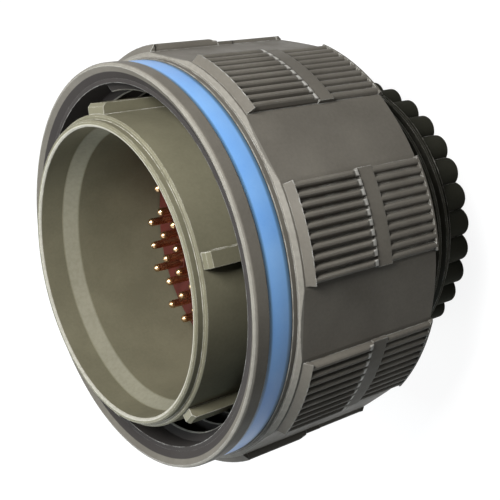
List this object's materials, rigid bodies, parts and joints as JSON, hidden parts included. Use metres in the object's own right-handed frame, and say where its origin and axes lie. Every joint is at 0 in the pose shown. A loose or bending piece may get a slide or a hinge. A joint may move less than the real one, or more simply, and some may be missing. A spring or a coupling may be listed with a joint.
{
  "type": "circular connector",
  "caption": "Threaded circular connector plug with pin contacts in a keyed shell, and a ribbed coupling nut with a blue band that turns on the shell to lock it to its mate.",
  "frame": {"origin": "centre of the rear end, on the axis", "axes": "+Z along the axis towards the mating face; a grip pad of the nut faces -Y"},
  "size_m": [0.0378, 0.0378, 0.0308],
  "materials": {
    "shell": "satin olive drab plating",
    "nut": "satin olive drab plating",
    "band": "gloss paint",
    "insert": "moulded",
    "seal": "moulded",
    "grommet": "moulded",
    "gasket": "moulded",
    "spring": "bright",
    "contact": "gold plated"
  },
  "bodies": {
    "shell": {"plug_shell": "shell", "front_insert": "insert", "interfacial_seal": "seal", "clip_wafer": "insert", "retention_clips": "spring", "rear_insert": "insert", "rear_grommet": "grommet", "ground_spring": "spring", "peripheral_seal": "gasket", "wave_washer": "spring", "retaining_ring": "spring", "contact_row_1": "contact", "contact_row_2": "contact", "contact_row_3": "contact", "contact_row_4": "contact", "contact_row_5": "contact", "contact_row_6": "contact", "contact_row_7": "contact", "contact_row_8": "contact", "contact_row_9": "contact"},
    "nut": {"coupling_nut": "nut", "blue_band": "band", "ratchet_spring_1": "spring", "ratchet_spring_2": "spring", "ratchet_spring_3": "spring"}
  },
  "joints": [
    {"name": "coupling_spin", "type": "hinge", "parent": "shell", "child": "nut", "pos_m": [0, 0, 0.0125], "axis": [0, 0, 1], "continuous": true}
  ]
}
